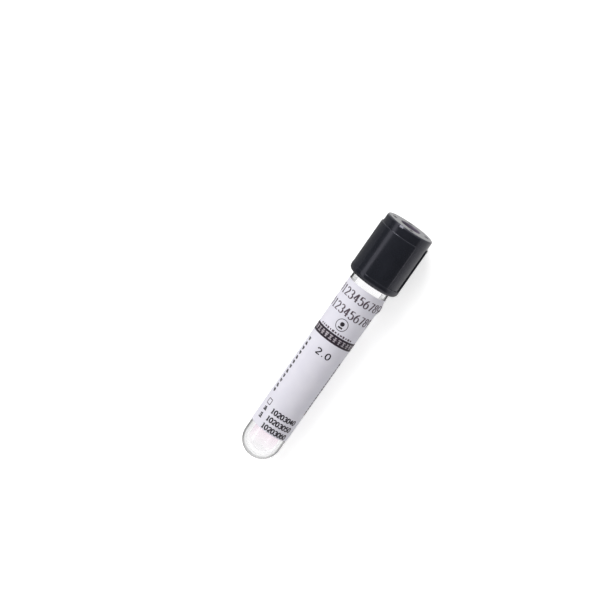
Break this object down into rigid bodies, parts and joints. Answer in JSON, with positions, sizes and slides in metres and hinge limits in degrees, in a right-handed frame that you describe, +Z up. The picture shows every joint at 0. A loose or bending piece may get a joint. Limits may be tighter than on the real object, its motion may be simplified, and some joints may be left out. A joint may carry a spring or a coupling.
{
  "type": "blood collection tube",
  "caption": "Round-bottomed clear plastic vacuum tube lying down, with a wrapped paper label, liquid additive, a rubber stopper and a black pull-off safety cap.",
  "frame": {"origin": "on the floor, under the middle of the lying tube's bounding box", "axes": "+Y along the tube towards its cap, +Z up through the label's printed front, +X to the label's right; the tube's own axis leans 2.108 degrees up from +Y"},
  "size_m": [0.017, 0.0868, 0.0176],
  "materials": {
    "clear_plastic": "clear polished PET",
    "label_paper": "semi-gloss coated paper, dark print",
    "citrate": "clear watery liquid",
    "rubber": "matt butyl rubber",
    "black_plastic": "moulded polypropylene, semi-gloss"
  },
  "bodies": {
    "vessel": {"tube": "clear_plastic", "label": "label_paper", "citrate_solution": "citrate"},
    "closure": {"rubber_stopper": "rubber", "safety_cap": "black_plastic"}
  },
  "joints": [
    {"name": "closure_pull", "type": "slide", "parent": "vessel", "child": "closure", "axis": [0, 0.9993, 0.0368], "range_m": [0, 0.03]}
  ]
}
